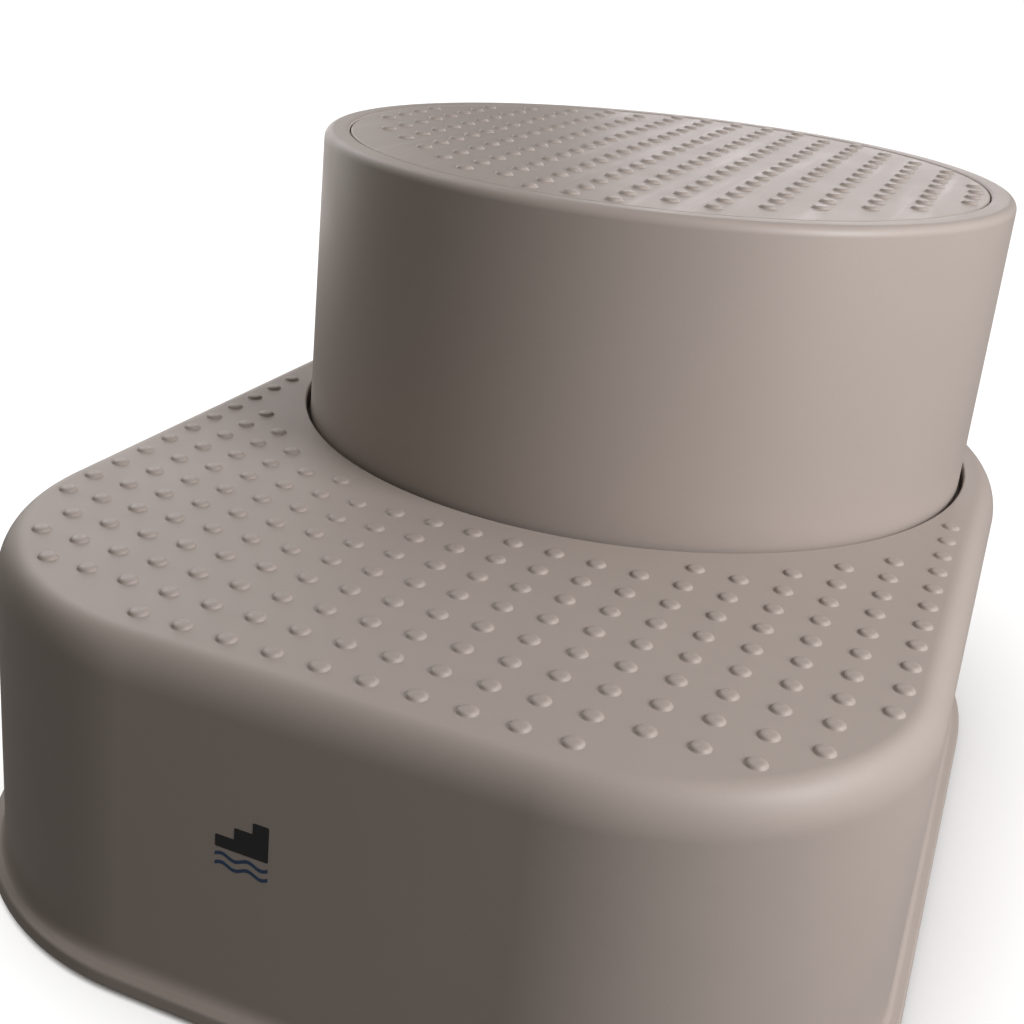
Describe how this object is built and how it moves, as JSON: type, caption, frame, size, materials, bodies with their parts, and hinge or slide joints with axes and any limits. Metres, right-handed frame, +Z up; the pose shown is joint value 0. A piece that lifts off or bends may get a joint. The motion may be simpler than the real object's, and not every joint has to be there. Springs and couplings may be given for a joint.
{
  "type": "two-tier pool and spa entry step",
  "caption": "Two-tier moulded step for a pool or spa: a round-cornered lower step with a lift-off round drum as the upper step and raised grip studs on both treads.",
  "frame": {"origin": "middle of the footprint, on the floor", "axes": "+Z up, -Y towards the person stepping up, +X to the right seen from the front; the drum stands towards +Y"},
  "size_m": [0.5274, 0.7174, 0.373],
  "materials": {
    "shell_plastic": "taupe moulded plastic with a fine satin texture",
    "drum_plastic": "taupe moulded plastic, satin",
    "tread_plastic": "taupe moulded plastic, slightly glossier satin",
    "foot_rubber": "matte black rubber",
    "seat_rubber": "matte dark grey rubber",
    "screw_steel": "plain stainless steel"
  },
  "bodies": {
    "lower_step": {"lower_step_shell": "shell_plastic", "foot_front_left": "foot_rubber", "foot_front_right": "foot_rubber", "foot_front_centre": "foot_rubber", "foot_side_left": "foot_rubber", "foot_side_right": "foot_rubber", "foot_back_left": "foot_rubber", "foot_back_right": "foot_rubber", "foot_back_centre": "foot_rubber", "seat_pad_1": "seat_rubber", "seat_pad_2": "seat_rubber", "seat_pad_3": "seat_rubber", "seat_pad_4": "seat_rubber", "seat_pad_5": "seat_rubber", "seat_pad_6": "seat_rubber"},
    "upper_step": {"upper_step_drum": "drum_plastic", "upper_tread_disc": "tread_plastic", "tread_screw_1": "screw_steel", "tread_screw_2": "screw_steel", "tread_screw_3": "screw_steel", "tread_screw_4": "screw_steel", "tread_screw_5": "screw_steel", "tread_screw_6": "screw_steel"}
  },
  "joints": [
    {"name": "upper_step_lift", "type": "slide", "parent": "lower_step", "child": "upper_step", "axis": [0, 0, 1], "range_m": [0, 0.1]}
  ]
}
